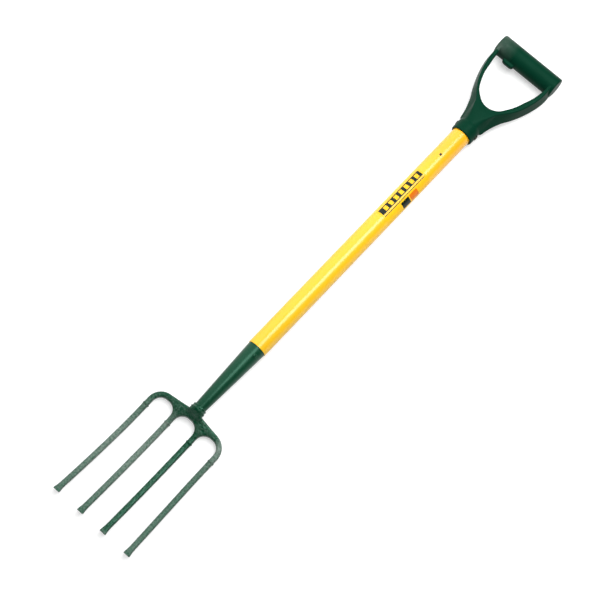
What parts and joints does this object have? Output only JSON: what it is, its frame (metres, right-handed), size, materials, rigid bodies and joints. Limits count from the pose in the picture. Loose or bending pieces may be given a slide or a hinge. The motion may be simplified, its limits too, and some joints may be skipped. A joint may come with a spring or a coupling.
{
  "type": "border fork",
  "caption": "Long-handled digging fork: a forged head with square tines on a tapered socket, a sleeved tube shaft and a moulded D grip.",
  "frame": {"origin": "on the ground under the middle of the tool, which lies on its back", "axes": "+Y up the shaft from the tine tips to the grip, +Z out of the tool's face, +X to the right seen from that face"},
  "size_m": [0.1514, 1.0132, 0.0386],
  "materials": {
    "green_paint": "semi-gloss green paint over forged steel",
    "green_plastic": "fine-grained satin plastic",
    "yellow_plastic": "smooth glossy plastic sleeve",
    "plain_steel": "bare drawn steel",
    "plug_wood": "sawn hardwood"
  },
  "bodies": {
    "root": {"crown": "green_paint", "outer_tine_left": "green_paint", "inner_tine_left": "green_paint", "inner_tine_right": "green_paint", "outer_tine_right": "green_paint", "neck_weld": "green_paint", "socket": "green_paint", "socket_rivet": "green_paint", "lower_plug": "plug_wood", "shaft_tube": "plain_steel", "shaft_sleeve": "yellow_plastic", "sleeve_pin": "plain_steel", "upper_plug": "plug_wood", "grip": "green_plastic", "grip_rivet": "plain_steel"}
  },
  "joints": []
}
